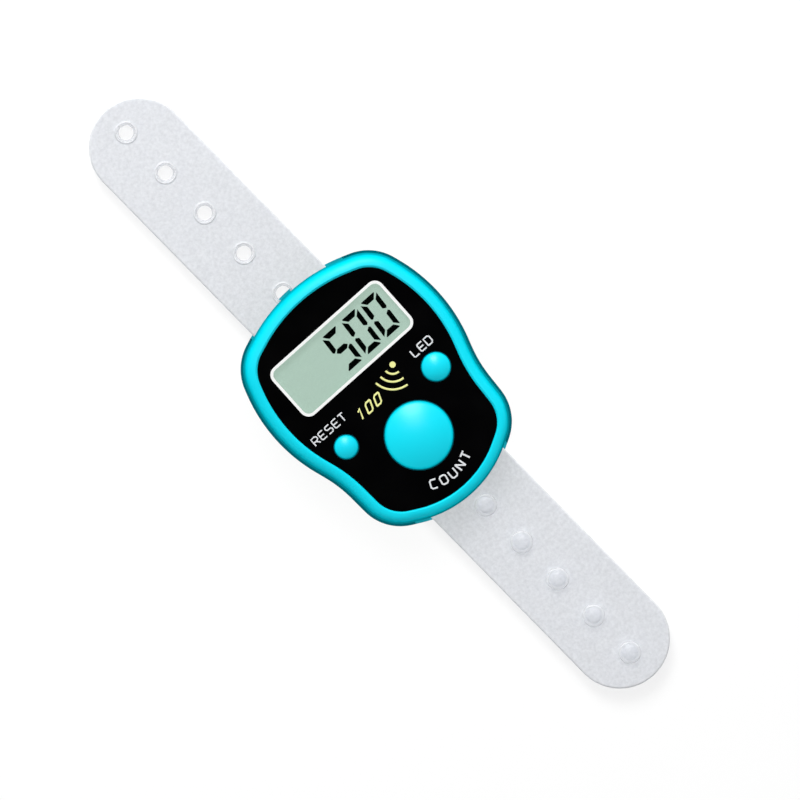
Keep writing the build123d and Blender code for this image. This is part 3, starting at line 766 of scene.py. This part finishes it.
def segment(letter):
    # one bar of a digit whose lower left corner is the origin, mitred against its neighbours
    w, h, across, upright = digits["width"], digits["height"], digits["across"], digits["upright"]
    reach = digits["gap"] / 2 * math.sqrt(2)
    tip = reach + digits["blunt"]
    z = digits["glassTop"] + digits["lift"]
    name = "segment_" + letter
    if letter in "ad":
        up = 1 if letter == "a" else -1
        edge = h if letter == "a" else 0
        bar = flatPiece(name, w - 2 * tip, across, w / 2, edge - up * across / 2, z)
        cutAway(bar, reach, edge, (-across, -up * upright))
        cutAway(bar, w - reach, edge, (across, -up * upright))
    elif letter == "g":
        bar = flatPiece(name, w - 2 * tip, across, w / 2, h / 2, z)
        inset = tip + digits["middleInset"]
        for side, x in ((-1, inset), (1, w - inset)):
            cutAway(bar, x, h / 2, (side, 1))
            cutAway(bar, x, h / 2, (side, -1))
    else:
        side = 1 if letter in "bc" else -1
        up = 1 if letter in "bf" else -1
        x = w if side == 1 else 0
        y = h if up == 1 else 0
        long = h / 2 - tip
        bar = flatPiece(name, upright, long, x - side * upright / 2, y - up * (tip + long / 2), z)
        cutAway(bar, x, y - up * reach, (-side * across, up * upright))
        waist = (x - side * digits["waistInset"], h / 2 + up * reach)
        cutAway(bar, *waist, (-side * digits["waistSlope"], -up))
        cutAway(bar, *waist, (side, -up))
    return bar


masters = {figure: joined("digit_" + figure, [segment(letter) for letter in segmentsOf[figure]])
           for figure in sorted(set(digits["shows"]))}
shownDigits = []
for number, figure in enumerate(digits["shows"]):
    copy = duplicate(masters[figure], "shown%d" % number)
    place = Matrix.Translation((digits["lefts"][number] * mm, digits["bottom"] * mm, 0))
    copy.data.transform(place @ leaning(digits["slant"]))
    shownDigits.append(copy)
remove(*masters.values())
numbers = thicken(joined("display_digits", shownDigits), digits["film"])
dress(numbers, liquidCrystal())
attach(numbers, "case")

# print on the face: border of the window, plain words for the keys, and the beep sign
whiteInk = screenInk("whiteInk", "FEFFFE", "F6F8F6")
wordInk = screenInk("wordInk", "EDEFF1", "E3E6E9")
yellowInk = screenInk("yellowInk", "F9F9A6", "F2F29A")
faceTop = 12.5
inkThick = 0.02
inkHeight = faceTop + 0.004  # just over the face
border = {"wide": 20.2, "tall": 8.6, "middle": 8.1, "line": 0.40, "corner": 1.35, "cornerSteps": 8}


def printed(piece, ink):
    dress(piece, ink)
    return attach(piece, "case")


ring = flatPiece("window_border", border["wide"], border["tall"], 0, border["middle"], inkHeight)
edit(ring, "VERT")
bpy.ops.mesh.bevel(offset=border["corner"] * mm, segments=border["cornerSteps"], affect="VERTICES")
endEdit()
edit(ring, "FACE")
bpy.ops.mesh.inset(thickness=border["line"] * mm)
bpy.ops.mesh.delete(type="FACE")
endEdit()
printed(thicken(ring, inkThick), whiteInk)

# the letters are drawn with a pen of even width; x and y run from 0 to 1 across a letter
strokes = {
    "R": [[(0, 0), (0, 1), (0.75, 1), (1, 0.84), (1, 0.6), (0.75, 0.44), (0, 0.44)], [(0.5, 0.44), (1, 0)]],
    "E": [[(1, 0), (0.14, 0), (0, 0.12), (0, 0.88), (0.14, 1), (1, 1)], [(0, 0.5), (0.88, 0.5)]],
    "S": [[(0.95, 1), (0.2, 1), (0, 0.86), (0, 0.65), (0.2, 0.51), (0.8, 0.51), (1, 0.37), (1, 0.14),
           (0.8, 0), (0.05, 0)]],
    "T": [[(0, 1), (1, 1)], [(0.5, 1), (0.5, 0)]],
    "L": [[(0, 1), (0, 0.12), (0.14, 0), (0.95, 0)]],
    "D": [[(0, 0), (0, 1), (0.75, 1), (1, 0.8), (1, 0.2), (0.75, 0), (0, 0)]],
    "C": [[(0.95, 1), (0.22, 1), (0, 0.84), (0, 0.16), (0.22, 0), (0.95, 0)]],
    "O": [[(0.5, 1), (0.22, 1), (0, 0.84), (0, 0.16), (0.22, 0), (0.78, 0), (1, 0.16), (1, 0.84), (0.78, 1),
           (0.5, 1)]],
    "U": [[(0, 1), (0, 0.16), (0.22, 0), (0.78, 0), (1, 0.16), (1, 1)]],
    "N": [[(0, 0), (0, 1)], [(0, 1), (1, 0)], [(1, 0), (1, 1)]],
    "1": [[(0.2, 0.8), (0.6, 1), (0.6, 0)]],
    "0": [[(0.5, 1), (0.2, 1), (0, 0.86), (0, 0.1), (0.12, 0), (0.8, 0), (1, 0.14), (1, 0.9), (0.88, 1),
           (0.5, 1)]],
}
words = {
    "word_reset": {"text": "RESET", "ink": wordInk, "corner": (-11.58, 0.40), "wide": 0.84, "tall": 1.13,
                   "step": 1.22, "slant": 0, "pen": 0.20},
    "word_led": {"text": "LED", "ink": wordInk, "corner": (6.74, 0.44), "wide": 0.88, "tall": 1.14,
                 "step": 1.24, "slant": 0, "pen": 0.23},
    "number_hundred": {"text": "100", "ink": yellowInk, "corner": (-4.78, -1.10), "wide": 0.87, "tall": 1.38,
                       "step": 1.56, "slant": 21, "pen": 0.30},
}
roundWord = {"text": "COUNT", "centre": (0, -7.9), "radius": 6.42, "turn": 12.4, "wide": 0.92, "tall": 1.22,
             "pen": 0.26}


def penLines(name, lines, pen):
    # flat lines of even width: tubes along the points, made a mesh and pressed flat
    curve = bpy.data.curves.new(name, "CURVE")
    curve.dimensions = "3D"
    curve.bevel_depth = pen / 2 * mm
    curve.bevel_resolution = 1
    curve.use_fill_caps = True
    for line in lines:
        spline = curve.splines.new("POLY")
        spline.points.add(len(line) - 1)
        for point, (x, y) in zip(spline.points, line):
            point.co = (x * mm, y * mm, 0, 1)
    piece = bpy.data.objects.new(name, curve)
    bpy.context.scene.collection.objects.link(piece)
    choose(piece)
    bpy.ops.object.convert(target="MESH")
    piece = added(name)
    piece.scale.z = inkThick / pen
    piece.location.z = inkHeight * mm
    return settle(piece)


def penLetter(letter, number, x, low, word):
    lines = [[(x + across * word["wide"], low + up * word["tall"]) for across, up in stroke]
             for stroke in strokes[letter]]
    return penLines("letter%d" % number, lines, word["pen"])


for name, word in words.items():
    letters = [penLetter(letter, number, number * word["step"], 0, word)
               for number, letter in enumerate(word["text"])]
    piece = joined(name, letters)
    left, low = word["corner"]
    piece.data.transform(Matrix.Translation((left * mm, low * mm, 0)) @ leaning(word["slant"]))
    printed(piece, word["ink"])

letters = []
centreX, centreY = roundWord["centre"]
for number, letter in enumerate(roundWord["text"]):
    turn = (number - (len(roundWord["text"]) - 1) / 2) * roundWord["turn"]
    piece = penLetter(letter, number, -roundWord["wide"] / 2, -roundWord["radius"] - roundWord["tall"],
                      roundWord)
    toCentre = Matrix.Translation((centreX * mm, centreY * mm, 0))
    piece.data.transform(toCentre @ Matrix.Rotation(math.radians(turn), 4, "Z"))
    letters.append(piece)
printed(joined("word_count", letters), wordInk)

sign = {"dot": (3.76, 1.80), "dotRadius": 0.43, "dotSteps": 32, "radii": (1.30, 2.38, 3.45), "middle": 226,
        "halves": (45, 42, 39.5), "arcSteps": 16, "line": 0.30}
x, y = sign["dot"]
deselectAll()
bpy.ops.mesh.primitive_cylinder_add(vertices=sign["dotSteps"], radius=sign["dotRadius"] * mm,
                                    depth=inkThick * mm, location=(x * mm, y * mm, inkHeight * mm))
signParts = [settle(added("sign_dot"))]
for radius, half in zip(sign["radii"], sign["halves"]):
    turns = [math.radians(sign["middle"] - half + 2 * half * step / sign["arcSteps"])
             for step in range(sign["arcSteps"] + 1)]
    arc = [(x + radius * math.cos(turn), y + radius * math.sin(turn)) for turn in turns]
    signParts.append(penLines("sign_arc", [arc], sign["line"]))
printed(joined("beep_sign", signParts), yellowInk)
print("face printed")

# finishes of the CAD pieces that show as they are
steel = nickelPlate("nickelPlatedSteel", "C9C8C4", 0.25)
spring = nickelPlate("nickelPlatedSpring", "BFC0BE", 0.15)
lens = clearAcrylic()
nylon = blackNylon()
acetal = whiteAcetal()
screws = zincSteel()
finishes = {
    "face_panel": glossBlackAcrylic(),
    "display_window": lens,
    "light_guide": lens,
    "display_front_glass": displayFilm(),
    "display_rear_glass": reflectorGlass(),
    "zebra_strip": zebraRubber(),
    "circuit_board": solderMask(),
    "chip_drop": epoxyDrop(),
    "board_resistors": nylon,
    "board_transistor": nylon,
    "board_capacitors": chipCeramic(),
    "backlight_lamp": acetal,
    "battery_cells": steel,
    "battery_link_contact": spring,
    "battery_negative_contact": spring,
    "battery_positive_contact": spring,
    "battery_cover": baseAbs,
    "piezo_disc": sheetBrass(),
    "piezo_ceramic": silveredCeramic(),
    "piezo_rim_contact": spring,
    "piezo_centre_contact": spring,
    "battery_cover_screw": screws,
    "board_screws": screws,
    "case_screws": screws,
}
for name in keys:
    finishes[name + "_switch_housing"] = nylon
    finishes[name + "_switch_plunger"] = acetal
for name, material in finishes.items():
    dress(nodes[name], material)
nodes["face_panel"].visible_diffuse = False  # the frame takes no light from the display

# the switches' domes, which snap flat under their plungers in use: merged, smooth shaded copies of the CAD
# pieces
domes = {"smooth": 30, "keep": 0.32}
for name in keys:
    dome = cadCopy(name + "_switch_dome", name + "_snap_dome", "case", domes["smooth"])
    dress(dome, spring)
    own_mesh(dome)
print("finishes given")
